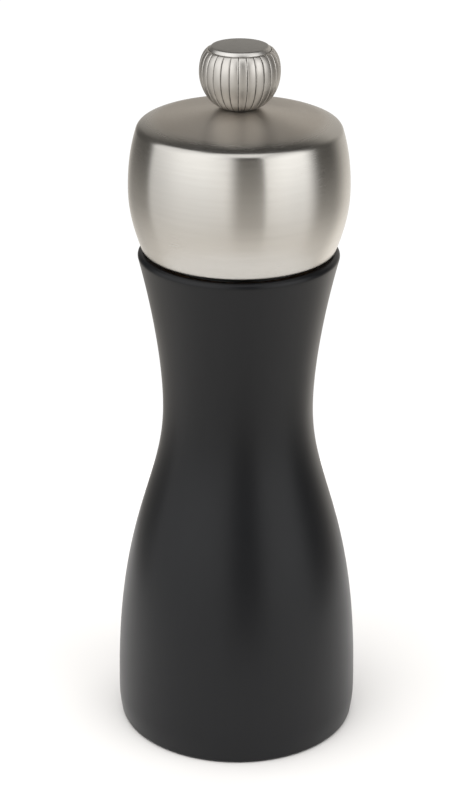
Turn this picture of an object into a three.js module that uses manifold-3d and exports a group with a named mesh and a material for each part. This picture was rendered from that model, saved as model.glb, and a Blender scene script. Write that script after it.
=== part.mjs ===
// A manual pepper mill, standing upright on its base.
// A turned wooden body holds the peppercorns and, at its foot, the grinding mechanism. A steel-capped head
// turns on the body and drives a square shaft, which carries the grinding rotor inside a fixed toothed ring.
// A fluted knob on the shaft's threaded end pulls the rotor up into the ring and so sets the grind.
//
// Millimetres, +Z up. The origin is the centre of the base that the mill stands on, and Z is the mill's axis.
import * as THREE from "three";
import { mergeVertices } from "three/addons/utils/BufferGeometryUtils.js";
import Module from "manifold-3d";

const wasm = await Module();
wasm.setup();

// ---------------------------------------------------------------- driving dimensions

const TOTAL_HEIGHT = 150;
const CLEARANCE = 0.2; // between pieces that touch or nearly touch along the axis
const SNUG = 0.05; // round pieces that are fastened tight to their neighbours
const PASS = 1; // how far a cutting tool reaches past the faces it goes through

const degrees = THREE.MathUtils.degToRad;

// Wooden body: a wide belly, a slim waist and a flared rim. Each fullness is the length of a curve's handle,
// and each lean is measured outwards from upright.
const BASE = { edgeRadius: 24.9, sideRadius: 25.45, sideHeight: 1.2, lean: degrees(6.3), fullness: 1.8 };
const BELLY = { radius: 25.9, height: 6, fullnessBelow: 2, fullnessAbove: 41.8 };
const WAIST = { radius: 15.8, height: 72.8, fullnessBelow: 18.9, fullnessAbove: 10.4 };
const RIM = { radius: 19.75, height: 106.27, rounding: 0.98, lean: degrees(14.2), fullness: 9.6 };
const BODY_TOP = RIM.height + RIM.rounding;

// What is bored into the body, from the top down.
const SOCKET = { radius: 15.6, floor: 96.2, chamfer: 0.7 };
const HOPPER = { radius: 11.6, bottom: 30.5, chamfer: 0.8 };
const MILL_BORE = { radius: 15.4, top: 27.2 };
const FOOT_RECESS = { radius: 20.2, depth: 4.6, chamfer: 0.5 };

// Steel cap of the head, drawn from one sheet. Its crown is nearly a cone, and slopes more towards its edge.
const SHEET = 0.8;
const CAP_EDGE = { radius: 19.25, height: 108.5, rounding: 0.8, lean: degrees(19.3), fullness: 3.6 };
const CAP_BELLY = { radius: 22.55, height: 120.8, fullnessBelow: 5.3, fullnessAbove: 6.2 };
const CAP_SHOULDER = { radius: 18.87, height: 132.15, rounding: 2.11, lean: degrees(16.6), fullness: 1.8 };
const CROWN_EDGE = { slope: degrees(28), fullness: 2.5 };
const CROWN_SEAT = { radius: 4.1, height: 137.3, slope: degrees(9.5), fullness: 9 };
const CAP_HOLE_RADIUS = 2.4;

// Turned wooden core inside the cap, with the spigot that turns in the body's socket.
const CORE = { radius: 19.0, underside: 107.6, bore: 3.3, slope: degrees(12.2), chamfer: 1.3 };
const SPIGOT = { radius: 15.25, bottom: 97.6, chamfer: 1.0 };
const PLATE = { radius: 9.0, thickness: 1.2, inset: 0.1, screwCircle: 6.3 };

// Knob.
const KNOB_FOOT = { radius: 3.6, height: CROWN_SEAT.height + CLEARANCE, lean: degrees(71), fullness: 3.4 };
const KNOB_BELLY = { radius: 8.21, height: 144.7, fullnessBelow: 2.6, fullnessAbove: 1.9 };
const KNOB_SHOULDER = { radius: 6.69, height: 149.2, lean: degrees(45), fullness: 1.55 };
const KNOB_FLUTES = 28;
const FLUTE_DEPTH = 0.2;
const KNOB_RECESS = { radius: 6.4, floor: 148.2 };
const KNOB_DISC = { radius: 6.15, bevelWidth: 0.45, bevelDrop: 0.72 };

// Shaft: square along the mill, round and threaded at the top, with a headed foot under the rotor.
const SHAFT_SIDE = 4.0;
const SHAFT_HOLE_SIDE = 4.5;
const SHAFT_THREAD = { radius: 1.95, chamfer: 0.5, tappedRadius: 2.15, tappedBeyond: 1 };
const SQUARE_TOP = 124.5;
const SHAFT_TOP = 145.6;
const SHAFT_FOOT = { radius: 3.9, bottom: 3.6, top: 5.0 };
const CLIP = { inner: 2.6, outer: 5.2, bottom: 28.25, thickness: 0.8, slot: 3.2 };
const CLIP_NECK = { radius: 2.45, play: 0.15 };

// Grinding mechanism. The flare is how much the grinding faces close in for each millimetre up.
const BURR = { base: 4.0, radius: 10.65, flare: 0.45, throat: 10.4, gap: 0.45, fineDepth: 0.35 };
const BURR_TEETH = 12;
const BURR_ROWS = [8.8, 7.0, 5.2]; // heights of the rows of fine teeth under the throat
const ROTOR = { bottom: 3.8, top: 17.5, recess: 4.3, edgeWidth: 0.5, edgeHeight: 0.4, throatDepth: 0.6 };
const STATOR = { bottom: 3.5, top: 19.4, radius: 14.0, chamfer: 0.4, throatDepth: 0.5 };

// Coarse teeth above the throat: radius, height and depth at each row, from the throat up.
const ROTOR_COARSE = [
  [7.3, 12.2, 1.0],
  [6.8, 14.0, 1.2],
  [6.2, 15.8, 1.2],
  [5.5, ROTOR.top, 0.9],
];
const STATOR_COARSE = [
  [8.9, 12.6, 0.7],
  [9.5, 14.9, 0.9],
  [10.1, 17.2, 0.9],
  [10.4, STATOR.top, 0.9],
];

const CAGE = { radius: 15.1, wall: 0.8, bottom: 3.5, top: 20.4, corner: 0.5, lip: 11.4 };
const CAGE_FLANGE = { radius: 19.8, sheet: 0.9 };
const RING = { inner: 11.8, outer: 19.8, bottom: 2.1, thickness: 1.2 };
const BRIDGE = { top: 26.9, sheet: 1.2, width: 8, reach: 14.6, leg: 11.9, corner: 0.6 };
const BRIDGE_HUB = { radius: 4.5, hole: 3.15, bottom: 24.5 };
const RIVET = { offset: 13.25, shank: 0.8, hole: 1.0 };
const RIVET_HEAD = { radius: 1.2, height: 0.7, edgeHeight: 0.28, flatRadius: 0.72 };
const WASHER = { inner: 3.15, outer: 6.0, thickness: 0.6 };
const SPRING = { radius: 4.4, wire: 0.8, turns: 4 };

// Screws. A slot's depth is a share of the head's height, and its reach a share of the head's width.
const BASE_SCREW = { head: 2.1, headHeight: 1.1, shank: 1.2, length: 11, slot: 0.6 };
const PLATE_SCREW = { head: 2.2, headHeight: 0.9, shank: 1.1, length: 8, slot: 0.6 };
const BASE_SCREW_CIRCLE = { radius: 17.1, count: 3 };
const PLATE_SCREW_COUNT = 2;
const SCREW_RIM = 0.2;
const SCREW_TIP = { radius: 0.2, length: 2 };
const SLOT_DEPTH = 0.6;
const SLOT_REACH = 0.55;
const PILOT_GAP = 0.2;

// Round pieces are turned with this many sides.
const FINE_SIDES = 48;
const PLAIN_SIDES = 36;
const SMALL_SIDES = 24;
const SCREW_SIDES = 12;
const WIRE_SIDES = 6;
const STEPS_PER_COIL = 12;

// ---------------------------------------------------------------- materials

function material(color, roughness, metalness) {
  return new THREE.MeshStandardMaterial({ color, roughness, metalness });
}

const BLACK_LACQUER = material(0x242527, 0.5, 0);
const BEECH = material(0xc79a66, 0.65, 0);
const BRUSHED_STEEL = material(0xb9b5ae, 0.32, 1);
const KNOB_METAL = material(0xb0aca4, 0.35, 1);
const HARDENED_STEEL = material(0x5d5c5b, 0.45, 1);
const PLATED_STEEL = material(0xa7a9ab, 0.38, 1);
const SPRING_STEEL = material(0x8b8d90, 0.35, 1);

// ---------------------------------------------------------------- shaping helpers

// Points of a cubic curve through the plane of radius and height, without its first point.
function bend(from, fromHandle, toHandle, to, steps) {
  const points = [from, fromHandle, toHandle, to].map(([r, z]) => new THREE.Vector2(r, z));
  return new THREE.CubicBezierCurve(...points).getPoints(steps).slice(1).map((p) => [p.x, p.y]);
}

// The point some way up from another, leaning outwards by an angle.
const along = ([r, z], lean, length) => [r + length * Math.sin(lean), z + length * Math.cos(lean)];

// Points on a circular arc in the same plane, from one angle to another.
function arc([r, z], radius, from, to, steps) {
  return Array.from({ length: steps + 1 }, (_, i) => {
    const angle = from + ((to - from) * i) / steps;
    return [r + radius * Math.cos(angle), z + radius * Math.sin(angle)];
  });
}

// Turns a profile of [radius, height] points about Z. A third number on a point is the depth of the teeth
// there, cut inwards: every tooth spans the same number of sides, and one cut falls on each tooth's first
// side. With helical set, each toothed row is cut one side further round than the row before.
function lathe(profile, sides, { teeth = 0, helical = false } = {}) {
  const turned = new THREE.LatheGeometry(profile.map(([r, z]) => new THREE.Vector2(r, z)), sides);
  if (teeth) {
    const position = turned.getAttribute("position");
    const period = sides / teeth;
    let row = 0;
    profile.forEach(([r, , depth], j) => {
      if (!depth) return;
      for (let i = 0; i <= sides; i++) {
        const step = (i + (helical ? row : 0)) % period;
        const away = Math.min(step, period - step) / (period / 2);
        const scale = (r - depth * (1 - away)) / r;
        const k = i * profile.length + j;
        position.setXYZ(k, position.getX(k) * scale, position.getY(k), position.getZ(k) * scale);
      }
      row += 1;
    });
  }
  return turned.rotateX(Math.PI / 2);
}

// An upright cylinder from one height to another.
function rod(radius, from, to, sides) {
  const cylinder = new THREE.CylinderGeometry(radius, radius, to - from, sides);
  return cylinder.rotateX(Math.PI / 2).translate(0, 0, (from + to) / 2);
}

// A box on the axis from one height to another.
function block(width, depth, from, to) {
  return new THREE.BoxGeometry(width, depth, to - from).translate(0, 0, (from + to) / 2);
}

// The manifold-3d solid of a closed geometry.
function solid(geometry) {
  const bare = new THREE.BufferGeometry().setAttribute("position", geometry.getAttribute("position"));
  bare.setIndex(geometry.getIndex());
  const merged = mergeVertices(bare, 1e-4);
  const { array } = merged.getAttribute("position");
  const triVerts = merged.getIndex().array;
  return new wasm.Manifold(new wasm.Mesh({ numProp: 3, vertProperties: array, triVerts }));
}

// The geometry of a solid.
function geometryOf(made) {
  const { numProp, numVert, vertProperties, triVerts } = made.getMesh();
  const position = new Float32Array(numVert * 3);
  for (let i = 0; i < numVert; i++) {
    position.set(vertProperties.subarray(i * numProp, i * numProp + 3), i * 3);
  }
  const geometry = new THREE.BufferGeometry().setAttribute("position", new THREE.BufferAttribute(position, 3));
  return geometry.setIndex(new THREE.BufferAttribute(triVerts, 1));
}

// A geometry with others cut out of it.
function cut(geometry, ...tools) {
  return geometryOf(tools.reduce((left, tool) => left.subtract(solid(tool)), solid(geometry)));
}

// Geometries joined into one.
function join(geometry, ...others) {
  return geometryOf(others.reduce((left, other) => left.add(solid(other)), solid(geometry)));
}

// Angles of places spread evenly round the axis.
const around = (count) => Array.from({ length: count }, (_, i) => (i * 2 * Math.PI) / count);

// Moves a geometry out to a circle about the axis.
const outTo = (geometry, circle, angle) => geometry.translate(circle, 0, 0).rotateZ(angle);

// ---------------------------------------------------------------- outlines

// Outside of the wooden body, from the edge of its base up to the top of its rim.
function bodyOutline() {
  const side = [BASE.sideRadius, BASE.sideHeight];
  const belly = [BELLY.radius, BELLY.height];
  const waist = [WAIST.radius, WAIST.height];
  const lip = arc([RIM.radius, RIM.height], RIM.rounding, -RIM.lean, Math.PI / 2, 3);
  const [flareTop] = lip;
  return [
    [BASE.edgeRadius, 0],
    side,
    ...bend(side, along(side, BASE.lean, BASE.fullness), along(belly, 0, -BELLY.fullnessBelow), belly, 2),
    ...bend(belly, along(belly, 0, BELLY.fullnessAbove), along(waist, 0, -WAIST.fullnessBelow), waist, 10),
    ...bend(waist, along(waist, 0, WAIST.fullnessAbove), along(flareTop, RIM.lean, -RIM.fullness), flareTop, 5),
    ...lip.slice(1),
  ];
}

// Outside of the head's steel cap, from its lower edge up to the knob's seat. An inset gives the inside.
function capOutline(inset) {
  const edgeCentre = [CAP_EDGE.radius, CAP_EDGE.height];
  const edge = arc(edgeCentre, CAP_EDGE.rounding - inset, -Math.PI / 2, -CAP_EDGE.lean, 2);
  const start = edge[edge.length - 1];
  const belly = [CAP_BELLY.radius - inset, CAP_BELLY.height];
  const shoulder = arc(
    [CAP_SHOULDER.radius, CAP_SHOULDER.height],
    CAP_SHOULDER.rounding - inset,
    CAP_SHOULDER.lean,
    Math.PI / 2 - CROWN_EDGE.slope,
    3,
  );
  const [shoulderStart] = shoulder;
  const crownEdge = shoulder[shoulder.length - 1];
  const seat = [CROWN_SEAT.radius, CROWN_SEAT.height - inset];
  return [
    ...(inset < CAP_EDGE.rounding ? edge : [start]),
    ...bend(
      start,
      along(start, CAP_EDGE.lean, CAP_EDGE.fullness),
      along(belly, 0, -CAP_BELLY.fullnessBelow),
      belly,
      5,
    ),
    ...bend(
      belly,
      along(belly, 0, CAP_BELLY.fullnessAbove),
      along(shoulderStart, -CAP_SHOULDER.lean, -CAP_SHOULDER.fullness),
      shoulderStart,
      4,
    ),
    ...shoulder.slice(1),
    ...bend(
      crownEdge,
      along(crownEdge, CROWN_EDGE.slope - Math.PI / 2, CROWN_EDGE.fullness),
      along(seat, CROWN_SEAT.slope + Math.PI / 2, CROWN_SEAT.fullness),
      seat,
      5,
    ),
    [CAP_HOLE_RADIUS, CROWN_SEAT.height - inset],
  ];
}

// Outside of the knob, from its foot up to its shoulder, each point with the depth of the flutes there.
function knobOutline() {
  const foot = [KNOB_FOOT.radius, KNOB_FOOT.height];
  const belly = [KNOB_BELLY.radius, KNOB_BELLY.height];
  const shoulder = [KNOB_SHOULDER.radius, KNOB_SHOULDER.height];
  const side = [
    ...bend(
      foot,
      along(foot, KNOB_FOOT.lean, KNOB_FOOT.fullness),
      along(belly, 0, -KNOB_BELLY.fullnessBelow),
      belly,
      5,
    ),
    ...bend(
      belly,
      along(belly, 0, KNOB_BELLY.fullnessAbove),
      along(shoulder, -KNOB_SHOULDER.lean, -KNOB_SHOULDER.fullness),
      shoulder,
      3,
    ),
  ];
  return [foot, ...side.map(([r, z]) => [r, z, FLUTE_DEPTH * (r / KNOB_BELLY.radius) ** 2])];
}

// Radius of the rotor's flared lower part at a height. The fixed ring stands off it by the burr gap.
const burrRadius = (height) => BURR.radius - (height - BURR.base) * BURR.flare;

// ---------------------------------------------------------------- body of the mill

function woodBody() {
  const blank = lathe(
    [
      ...bodyOutline(),
      [SOCKET.radius + SOCKET.chamfer, BODY_TOP],
      [SOCKET.radius, BODY_TOP - SOCKET.chamfer],
      [SOCKET.radius, SOCKET.floor],
      [HOPPER.radius + HOPPER.chamfer, SOCKET.floor],
      [HOPPER.radius, SOCKET.floor - HOPPER.chamfer],
      [HOPPER.radius, HOPPER.bottom],
      [MILL_BORE.radius, MILL_BORE.top],
      [MILL_BORE.radius, FOOT_RECESS.depth],
      [FOOT_RECESS.radius, FOOT_RECESS.depth],
      [FOOT_RECESS.radius, FOOT_RECESS.chamfer],
      [FOOT_RECESS.radius + FOOT_RECESS.chamfer, 0],
      [BASE.edgeRadius, 0],
    ],
    FINE_SIDES,
  );
  return cut(blank, ...baseScrewHoles(FOOT_RECESS.depth - PASS, RING.bottom + BASE_SCREW.length + PASS));
}

// Holes on the circle of base screws, from one height to another.
function baseScrewHoles(from, to) {
  const { radius, count } = BASE_SCREW_CIRCLE;
  return around(count).map((angle) =>
    outTo(rod(BASE_SCREW.shank + PILOT_GAP, from, to, SCREW_SIDES), radius, angle),
  );
}

// Holes for the pair of rivets, from one height to another.
const rivetHoles = (from, to) =>
  around(2).map((angle) => outTo(rod(RIVET.hole, from, to, SCREW_SIDES), RIVET.offset, angle));

// Stamped cup that holds the fixed ring, with a flange that the screws clamp to the body.
function millCage() {
  const inside = CAGE.radius - CAGE.wall;
  const flangeTop = CAGE.bottom + CAGE_FLANGE.sheet;
  const cup = lathe(
    [
      [inside, CAGE.bottom],
      [CAGE_FLANGE.radius, CAGE.bottom],
      [CAGE_FLANGE.radius, flangeTop],
      [CAGE.radius, flangeTop],
      [CAGE.radius, CAGE.top - CAGE.corner],
      [CAGE.radius - CAGE.corner, CAGE.top],
      [CAGE.lip, CAGE.top],
      [CAGE.lip, CAGE.top - CAGE.wall],
      [inside, CAGE.top - CAGE.wall],
      [inside, CAGE.bottom],
    ],
    PLAIN_SIDES,
  );
  const screwHoles = baseScrewHoles(CAGE.bottom - PASS, flangeTop + PASS);
  return cut(cup, ...screwHoles, ...rivetHoles(CAGE.top - CAGE.wall - PASS, CAGE.top + PASS));
}

// Fixed grinding ring. Its teeth are deep at the mouth, where they crack the corns, and fine at the flare.
function stator() {
  const { bottom, top, radius, chamfer, throatDepth } = STATOR;
  const coarse = STATOR_COARSE.map(([r, z, depth]) => [r, z, -depth]).reverse();
  const flare = (height, depth) => [burrRadius(height) + BURR.gap, height, -depth];
  return lathe(
    [
      [radius, bottom],
      [radius, top - chamfer],
      [radius - chamfer, top],
      ...coarse,
      flare(BURR.throat, throatDepth),
      ...[...BURR_ROWS, bottom].map((height) => flare(height, BURR.fineDepth)),
      [radius, bottom],
    ],
    FINE_SIDES,
    { teeth: BURR_TEETH, helical: true },
  );
}

// Flat ring under the mechanism. The ground pepper falls through its hole.
function baseRing() {
  const { inner, outer, bottom, thickness } = RING;
  const ring = lathe(
    [
      [inner, bottom],
      [outer, bottom],
      [outer, bottom + thickness],
      [inner, bottom + thickness],
      [inner, bottom],
    ],
    PLAIN_SIDES,
  );
  const sinks = around(BASE_SCREW_CIRCLE.count).map((angle) =>
    outTo(countersink(BASE_SCREW, bottom, thickness), BASE_SCREW_CIRCLE.radius, angle),
  );
  return cut(ring, ...sinks);
}

// Strap over the cage that guides the shaft and takes the push of the spring.
function bridge() {
  const { top, sheet, width, reach, leg, corner } = BRIDGE;
  const { radius, hole, bottom } = BRIDGE_HUB;
  const footBottom = CAGE.top + CLEARANCE;
  const footTop = footBottom + sheet;
  const right = [
    [leg - sheet, footBottom],
    [reach, footBottom],
    [reach, footTop],
    [leg, footTop],
    [leg, top - corner],
    [leg - corner, top],
  ];
  const inner = [
    [sheet - leg, top - sheet],
    [leg - sheet, top - sheet],
  ];
  const left = right.map(([x, z]) => [-x, z]).reverse();
  const outline = [...right, ...left, ...inner].map(([x, z]) => new THREE.Vector2(x, z));
  const strap = new THREE.ExtrudeGeometry(new THREE.Shape(outline), { depth: width, bevelEnabled: false });
  strap.rotateX(Math.PI / 2).translate(0, width / 2, 0);
  const joined = join(strap, rod(radius, bottom, top - sheet / 2, SMALL_SIDES));
  const bore = rod(hole, bottom - PASS, top + PASS, SMALL_SIDES);
  return cut(joined, bore, ...rivetHoles(footBottom - PASS, footTop + PASS));
}

function rivet() {
  const { radius, height, edgeHeight, flatRadius } = RIVET_HEAD;
  const foot = CAGE.top - CAGE.wall + SNUG;
  const underHead = CAGE.top + CLEARANCE + BRIDGE.sheet + 2 * SNUG;
  return lathe(
    [
      [0, foot],
      [RIVET.shank, foot],
      [RIVET.shank, underHead],
      [radius, underHead],
      [radius, underHead + edgeHeight],
      [flatRadius, underHead + height],
      [0, underHead + height],
    ],
    SCREW_SIDES,
  );
}

// ---------------------------------------------------------------- screws

// A wood screw that points up, with its flat head at the bottom and a crossed slot in it.
function woodScrew({ head, headHeight, shank, length, slot }, bottom) {
  const blank = lathe(
    [
      [0, bottom],
      [head, bottom],
      [head, bottom + SCREW_RIM],
      [shank, bottom + headHeight],
      [shank, bottom + length - SCREW_TIP.length],
      [SCREW_TIP.radius, bottom + length],
      [0, bottom + length],
    ],
    SCREW_SIDES,
  );
  const slotTop = bottom + headHeight * SLOT_DEPTH;
  const reach = 2 * head * SLOT_REACH;
  return cut(blank, block(reach, slot, bottom - PASS, slotTop), block(slot, reach, bottom - PASS, slotTop));
}

// The hole that lets a screw's head lie flush in the underside of a plate.
function countersink({ head, shank, headHeight }, bottom, thickness) {
  const gap = PILOT_GAP;
  return lathe(
    [
      [0, bottom - PASS],
      [head + gap, bottom - PASS],
      [head + gap, bottom + SCREW_RIM + 2 * SNUG],
      [shank + gap, bottom + headHeight + gap],
      [shank + gap, bottom + thickness + PASS],
      [0, bottom + thickness + PASS],
    ],
    SCREW_SIDES,
  );
}

// ---------------------------------------------------------------- shaft, rotor and spring

function driveShaft() {
  const { radius, chamfer } = SHAFT_THREAD;
  const foot = rod(SHAFT_FOOT.radius, SHAFT_FOOT.bottom, SHAFT_FOOT.top, SMALL_SIDES);
  const square = block(SHAFT_SIDE, SHAFT_SIDE, (SHAFT_FOOT.bottom + SHAFT_FOOT.top) / 2, SQUARE_TOP);
  const threaded = lathe(
    [
      [0, SQUARE_TOP - PASS],
      [radius, SQUARE_TOP - PASS],
      [radius, SHAFT_TOP - chamfer],
      [radius - chamfer, SHAFT_TOP],
      [0, SHAFT_TOP],
    ],
    SMALL_SIDES,
  );
  const neckBottom = CLIP.bottom - CLIP_NECK.play;
  const neckTop = CLIP.bottom + CLIP.thickness + CLIP_NECK.play;
  const groove = lathe(
    [
      [CLIP_NECK.radius, neckBottom],
      [SHAFT_SIDE, neckBottom],
      [SHAFT_SIDE, neckTop],
      [CLIP_NECK.radius, neckTop],
      [CLIP_NECK.radius, neckBottom],
    ],
    SMALL_SIDES,
  );
  return cut(join(foot, square, threaded), groove);
}

// Open-sided clip in the shaft's groove. It lands on the bridge when the knob is taken off.
function stopClip() {
  const { inner, outer, bottom, thickness, slot } = CLIP;
  const top = bottom + thickness;
  const disc = lathe(
    [
      [inner, bottom],
      [outer, bottom],
      [outer, top],
      [inner, top],
      [inner, bottom],
    ],
    SMALL_SIDES,
  );
  return cut(disc, block(slot, outer * 2, bottom - PASS, top + PASS).translate(0, outer, 0));
}

// Turning grinder. Deep spiral teeth draw the corns down, and fine teeth on the flare grind them.
function rotor() {
  const { bottom, top, recess, edgeWidth, edgeHeight, throatDepth } = ROTOR;
  const ceiling = SHAFT_FOOT.top + CLEARANCE;
  const flare = (height, depth) => [burrRadius(height), height, depth];
  const fineRows = [...BURR_ROWS, bottom + edgeHeight].reverse();
  const blank = lathe(
    [
      [0, ceiling],
      [recess, ceiling],
      [recess, bottom],
      [burrRadius(bottom) - edgeWidth, bottom],
      ...fineRows.map((height) => flare(height, BURR.fineDepth)),
      flare(BURR.throat, throatDepth),
      ...ROTOR_COARSE,
      [0, top],
    ],
    FINE_SIDES,
    { teeth: BURR_TEETH, helical: true },
  );
  return cut(blank, block(SHAFT_HOLE_SIDE, SHAFT_HOLE_SIDE, bottom, top + PASS));
}

function thrustWasher() {
  const top = BRIDGE_HUB.bottom - CLEARANCE;
  const { inner, outer, thickness } = WASHER;
  return lathe(
    [
      [inner, top - thickness],
      [outer, top - thickness],
      [outer, top],
      [inner, top],
      [inner, top - thickness],
    ],
    SMALL_SIDES,
  );
}

// Coil between the washer and the rotor.
class Coil extends THREE.Curve {
  constructor(radius, from, to, turns) {
    super();
    Object.assign(this, { radius, from, to, turns });
  }

  getPoint(t, target = new THREE.Vector3()) {
    const angle = t * this.turns * 2 * Math.PI;
    const height = this.from + (this.to - this.from) * t;
    return target.set(this.radius * Math.cos(angle), this.radius * Math.sin(angle), height);
  }
}

function spring() {
  const wireRadius = SPRING.wire / 2;
  const from = ROTOR.top + CLEARANCE + wireRadius;
  const to = BRIDGE_HUB.bottom - WASHER.thickness - 2 * CLEARANCE - wireRadius;
  const toPoint = (angle) => new THREE.Vector2(wireRadius * Math.cos(angle), wireRadius * Math.sin(angle));
  const section = new THREE.Shape(around(WIRE_SIDES).map(toPoint));
  return new THREE.ExtrudeGeometry(section, {
    steps: SPRING.turns * STEPS_PER_COIL,
    bevelEnabled: false,
    extrudePath: new Coil(SPRING.radius, from, to, SPRING.turns),
  });
}

// ---------------------------------------------------------------- head

function headCap() {
  const inside = capOutline(SHEET).reverse();
  const outside = capOutline(0);
  return lathe([...outside, ...inside, outside[0]], FINE_SIDES);
}

function headCore() {
  const { radius, underside, bore, slope, chamfer } = CORE;
  const crownTop = CROWN_SEAT.height - SHEET - CLEARANCE;
  const crownHeight = (r) => crownTop - (r - CROWN_SEAT.radius) * Math.tan(slope);
  const blank = lathe(
    [
      [bore, SPIGOT.bottom],
      [SPIGOT.radius - SPIGOT.chamfer, SPIGOT.bottom],
      [SPIGOT.radius, SPIGOT.bottom + SPIGOT.chamfer],
      [SPIGOT.radius, underside],
      [radius, underside],
      [radius, crownHeight(radius) - chamfer],
      [radius - chamfer, crownHeight(radius - chamfer)],
      [CROWN_SEAT.radius, crownTop],
      [bore, crownTop],
      [bore, SPIGOT.bottom],
    ],
    FINE_SIDES,
  );
  const plateSeat = SPIGOT.bottom + PLATE.thickness + 2 * PLATE.inset;
  const seat = rod(PLATE.radius + CLEARANCE, SPIGOT.bottom - PASS, plateSeat, PLAIN_SIDES);
  const pilotTop = SPIGOT.bottom + PLATE_SCREW.length + PASS;
  const pilots = around(PLATE_SCREW_COUNT).map((angle) =>
    outTo(
      rod(PLATE_SCREW.shank + PILOT_GAP, plateSeat - PASS, pilotTop, SCREW_SIDES),
      PLATE.screwCircle,
      angle,
    ),
  );
  return cut(blank, seat, ...pilots);
}

// Plate under the core whose square hole turns the shaft.
function drivePlate() {
  const bottom = SPIGOT.bottom + PLATE.inset;
  const top = bottom + PLATE.thickness;
  const disc = rod(PLATE.radius, bottom, top, PLAIN_SIDES);
  const sinks = around(PLATE_SCREW_COUNT).map((angle) =>
    outTo(countersink(PLATE_SCREW, bottom, PLATE.thickness), PLATE.screwCircle, angle),
  );
  return cut(disc, block(SHAFT_HOLE_SIDE, SHAFT_HOLE_SIDE, bottom - PASS, top + PASS), ...sinks);
}

// ---------------------------------------------------------------- knob

function knobBody() {
  const { tappedRadius, tappedBeyond } = SHAFT_THREAD;
  const boreTop = SHAFT_TOP + tappedBeyond;
  return lathe(
    [
      [0, boreTop],
      [tappedRadius, boreTop],
      [tappedRadius, KNOB_FOOT.height],
      ...knobOutline(),
      [KNOB_RECESS.radius, KNOB_SHOULDER.height],
      [KNOB_RECESS.radius, KNOB_RECESS.floor],
      [0, KNOB_RECESS.floor],
    ],
    KNOB_FLUTES * 2,
    { teeth: KNOB_FLUTES },
  );
}

// Bevelled disc let into the top of the knob.
function knobCap() {
  const { radius, bevelWidth, bevelDrop } = KNOB_DISC;
  const bottom = KNOB_RECESS.floor + CLEARANCE;
  return lathe(
    [
      [0, bottom],
      [radius, bottom],
      [radius, TOTAL_HEIGHT - bevelDrop],
      [radius - bevelWidth, TOTAL_HEIGHT],
      [0, TOTAL_HEIGHT],
    ],
    PLAIN_SIDES,
  );
}

// ---------------------------------------------------------------- assembly

const mill = new THREE.Group();

function place(name, geometry, finish, angle = 0) {
  const mesh = new THREE.Mesh(geometry, finish);
  mesh.name = name;
  mesh.rotation.z = angle;
  mill.add(mesh);
}

place("wood_body", woodBody(), BLACK_LACQUER);
place("mill_cage", millCage(), PLATED_STEEL);
place("stator_ring", stator(), HARDENED_STEEL);
place("base_ring", baseRing(), PLATED_STEEL);
around(BASE_SCREW_CIRCLE.count).forEach((angle, i) => {
  const screw = woodScrew(BASE_SCREW, RING.bottom + SNUG).translate(BASE_SCREW_CIRCLE.radius, 0, 0);
  place(`base_screw_${i + 1}`, screw, PLATED_STEEL, angle);
});
place("shaft_bridge", bridge(), PLATED_STEEL);
around(2).forEach((angle, i) => {
  place(`bridge_rivet_${i + 1}`, rivet().translate(RIVET.offset, 0, 0), PLATED_STEEL, angle);
});

place("thrust_washer", thrustWasher(), PLATED_STEEL);
place("grind_spring", spring(), SPRING_STEEL);

place("drive_shaft", driveShaft(), PLATED_STEEL);
place("shaft_stop_clip", stopClip(), SPRING_STEEL);
place("grinding_rotor", rotor(), HARDENED_STEEL);

place("head_cap", headCap(), BRUSHED_STEEL);
place("head_core", headCore(), BEECH);
place("drive_plate", drivePlate(), PLATED_STEEL);
around(PLATE_SCREW_COUNT).forEach((angle, i) => {
  const screw = woodScrew(PLATE_SCREW, SPIGOT.bottom + PLATE.inset + SNUG).translate(PLATE.screwCircle, 0, 0);
  place(`plate_screw_${i + 1}`, screw, PLATED_STEEL, angle);
});

place("knob_body", knobBody(), KNOB_METAL);
place("knob_cap", knobCap(), KNOB_METAL);

export default mill;
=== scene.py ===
"""Looks of the pepper mill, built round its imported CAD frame. Metres and +Z up, with the mill's axis on Z.

Every CAD piece is rebuilt here as a finer mesh of the same size, with rounded edges, cut threads and teeth
where it has them, and a procedural material. Outlines are written in millimetres as (radius, height).
"""

import math

import bmesh
import bpy
import numpy as np
from mathutils import Matrix, Vector


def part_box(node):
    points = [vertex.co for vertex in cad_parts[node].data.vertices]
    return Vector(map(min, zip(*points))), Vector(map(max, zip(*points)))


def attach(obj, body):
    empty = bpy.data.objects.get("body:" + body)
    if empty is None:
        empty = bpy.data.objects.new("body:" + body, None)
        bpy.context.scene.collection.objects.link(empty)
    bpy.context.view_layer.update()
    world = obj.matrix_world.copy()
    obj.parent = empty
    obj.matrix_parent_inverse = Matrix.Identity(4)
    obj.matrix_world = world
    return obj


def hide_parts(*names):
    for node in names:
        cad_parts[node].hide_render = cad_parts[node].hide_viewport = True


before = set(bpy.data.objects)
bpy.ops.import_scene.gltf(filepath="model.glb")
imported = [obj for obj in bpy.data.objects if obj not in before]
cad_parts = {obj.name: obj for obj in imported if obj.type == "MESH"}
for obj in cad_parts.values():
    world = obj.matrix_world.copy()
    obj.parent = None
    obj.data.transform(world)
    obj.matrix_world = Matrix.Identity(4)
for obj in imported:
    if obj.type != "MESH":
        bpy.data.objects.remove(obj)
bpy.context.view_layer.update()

MM = 0.001
TAU = 2 * math.pi


# ---------------------------------------------------------------- places taken from the frame


def span(node):
    """Lowest height, highest height and largest radius of a CAD node about the axis, in millimetres."""
    low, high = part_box(node)
    return low.z / MM, high.z / MM, high.x / MM


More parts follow.
